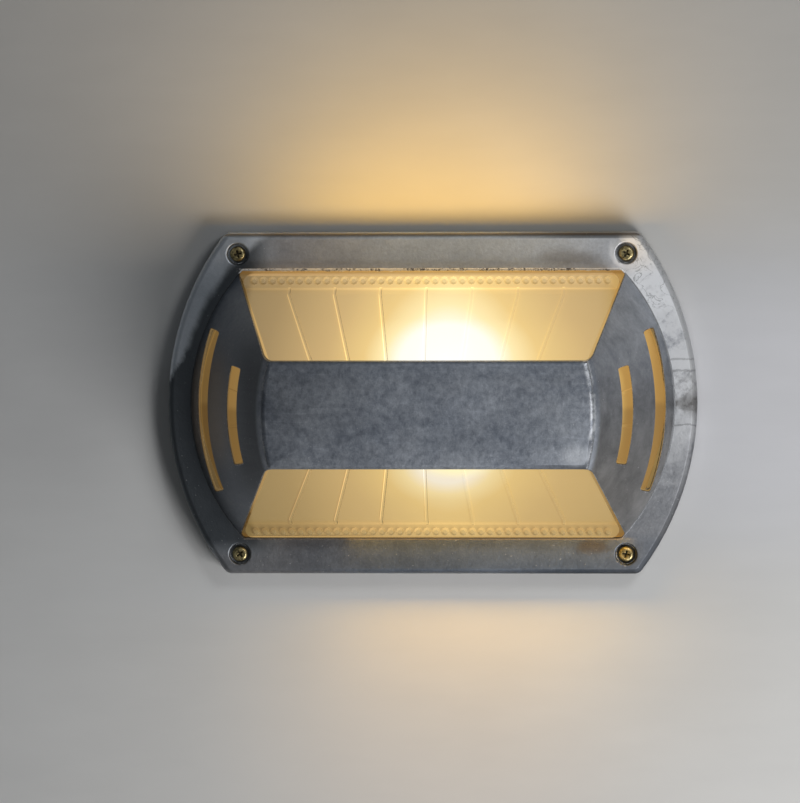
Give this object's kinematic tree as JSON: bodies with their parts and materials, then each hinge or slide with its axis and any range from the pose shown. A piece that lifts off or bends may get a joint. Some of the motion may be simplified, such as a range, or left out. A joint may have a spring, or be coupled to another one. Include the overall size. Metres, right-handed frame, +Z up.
{
  "type": "outdoor bulkhead wall light",
  "caption": "Rectangular bulkhead wall light with arc ends: shallow cast base, ribbed frosted glass tray, and a cast guard with a centre bar and slotted cheeks over it.",
  "frame": {"origin": "centre of the base's back face, on the wall", "axes": "+X along the length to the right, +Z up the wall, -Y out from the wall"},
  "size_m": [0.26, 0.0785, 0.168],
  "materials": {
    "cover_casting": "raw die casting, dull grey with stains and scratches",
    "base_casting": "raw die casting",
    "frosted_glass": "pressed and frosted",
    "gasket_rubber": "soft black rubber",
    "grommet_rubber": "black rubber",
    "yellow_zinc": "steel, yellow zinc plated",
    "zinc_steel": "bright zinc plated",
    "brass": "plain",
    "bronze": "sprung strip",
    "tinned_copper": "tinned",
    "porcelain": "glazed white porcelain",
    "lamp": "frosted bulb with a plated cap, lit",
    "block_moulding": "moulded, off-white",
    "live_insulation": "brown sleeving",
    "neutral_insulation": "blue sleeving",
    "earth_insulation": "green sleeving with a yellow stripe"
  },
  "bodies": {
    "root": {"base_housing": "base_casting", "glass_gasket": "gasket_rubber", "glass_diffuser": "frosted_glass", "front_cover": "cover_casting", "cover_screw_top_left": "yellow_zinc", "cover_screw_top_right": "yellow_zinc", "cover_screw_bottom_left": "yellow_zinc", "cover_screw_bottom_right": "yellow_zinc", "lampholder_body": "porcelain", "lampholder_shell": "brass", "lampholder_contact": "bronze", "lampholder_bracket": "zinc_steel", "bracket_foot_screws": "zinc_steel", "bracket_head_screws": "zinc_steel", "holder_terminal_live": "brass", "holder_terminal_neutral": "brass", "holder_terminal_screws": "zinc_steel", "lamp_bulb": "lamp", "terminal_block": "block_moulding", "terminal_tube_live": "brass", "terminal_tube_neutral": "brass", "terminal_tube_earth": "brass", "terminal_screws": "zinc_steel", "terminal_fixing_screws": "zinc_steel", "live_lead": "live_insulation", "neutral_lead": "neutral_insulation", "earth_lead": "earth_insulation", "earth_tag": "tinned_copper", "earth_washer": "zinc_steel", "earth_screw": "zinc_steel", "cable_grommet": "grommet_rubber"}
  },
  "joints": []
}
